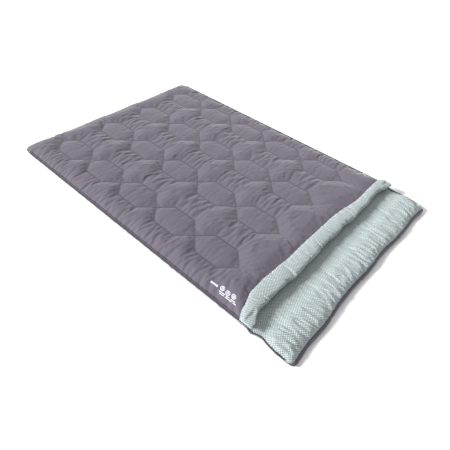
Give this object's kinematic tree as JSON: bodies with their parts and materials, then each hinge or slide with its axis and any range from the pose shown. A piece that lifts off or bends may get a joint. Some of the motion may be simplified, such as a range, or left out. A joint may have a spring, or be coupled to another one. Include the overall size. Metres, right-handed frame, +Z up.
{
  "type": "camp quilt",
  "caption": "Double-width padded camp quilt in two zipped layers hinged at the foot, with a stitched shell and a turned-back lining cuff at the head.",
  "frame": {"origin": "middle of the underside, on the ground", "axes": "+X from the foot to the head, +Y from the near zip to the far zip, +Z up"},
  "size_m": [2.25, 1.5, 0.0974],
  "materials": {
    "shell": "matt brushed microfibre, mauve grey",
    "lining": "soft pale sage print with small white dots",
    "filling": "white fibre filling",
    "zip_tape": "woven tape, dark plum grey",
    "zip_coil": "satin nylon coil",
    "zip_metal": "satin nickel-coloured metal",
    "label": "white woven label",
    "print": "pale screen print"
  },
  "bodies": {
    "base": {"base_shell": "shell", "base_filling": "filling", "base_lining": "lining", "foot_piping": "zip_tape", "hanging_loop_near": "zip_tape", "hanging_loop_far": "zip_tape", "care_label": "label", "base_tape_near": "zip_tape", "base_coil_near": "zip_coil", "foot_stop_near": "zip_metal", "head_stop_near": "zip_metal", "draught_tube_near": "lining", "base_tape_far": "zip_tape", "base_coil_far": "zip_coil", "foot_stop_far": "zip_metal", "head_stop_far": "zip_metal", "draught_tube_far": "lining"},
    "top": {"top_shell": "shell", "top_filling": "filling", "top_lining": "lining", "shell_print": "print", "side_label": "label", "top_tape_near": "zip_tape", "top_coil_near": "zip_coil", "top_stop_near": "zip_metal", "top_tape_far": "zip_tape", "top_coil_far": "zip_coil", "top_stop_far": "zip_metal"},
    "cuff": {"cuff_lining": "lining", "cuff_filling": "filling", "cuff_shell": "shell", "cuff_tape_near": "zip_tape", "cuff_tape_far": "zip_tape"},
    "slider_near": {"zip_slider_near": "zip_metal"},
    "pull_near": {"zip_pull_near": "zip_metal"},
    "slider_far": {"zip_slider_far": "zip_metal"},
    "pull_far": {"zip_pull_far": "zip_metal"}
  },
  "joints": [
    {"name": "top_fold", "type": "hinge", "parent": "base", "child": "top", "pos_m": [-1.122, 0, 0.049], "axis": [0, -1, 0], "range_deg": [0, 180]},
    {"name": "cuff_fold", "type": "hinge", "parent": "top", "child": "cuff", "pos_m": [0.85, 0, 0.0732], "axis": [0, 1, 0], "range_deg": [0, 178]},
    {"name": "slider_near_run", "type": "slide", "parent": "base", "child": "slider_near", "axis": [-1, 0, 0], "range_m": [0, 1.868]},
    {"name": "pull_near_turn", "type": "hinge", "parent": "slider_near", "child": "pull_near", "pos_m": [0.826, -0.7478, 0.049], "axis": [0, 0, 1], "range_deg": [0, 180]},
    {"name": "slider_far_run", "type": "slide", "parent": "base", "child": "slider_far", "axis": [-1, 0, 0], "range_m": [0, 1.868]},
    {"name": "pull_far_turn", "type": "hinge", "parent": "slider_far", "child": "pull_far", "pos_m": [0.826, 0.7478, 0.049], "axis": [0, 0, -1], "range_deg": [0, 180]}
  ]
}
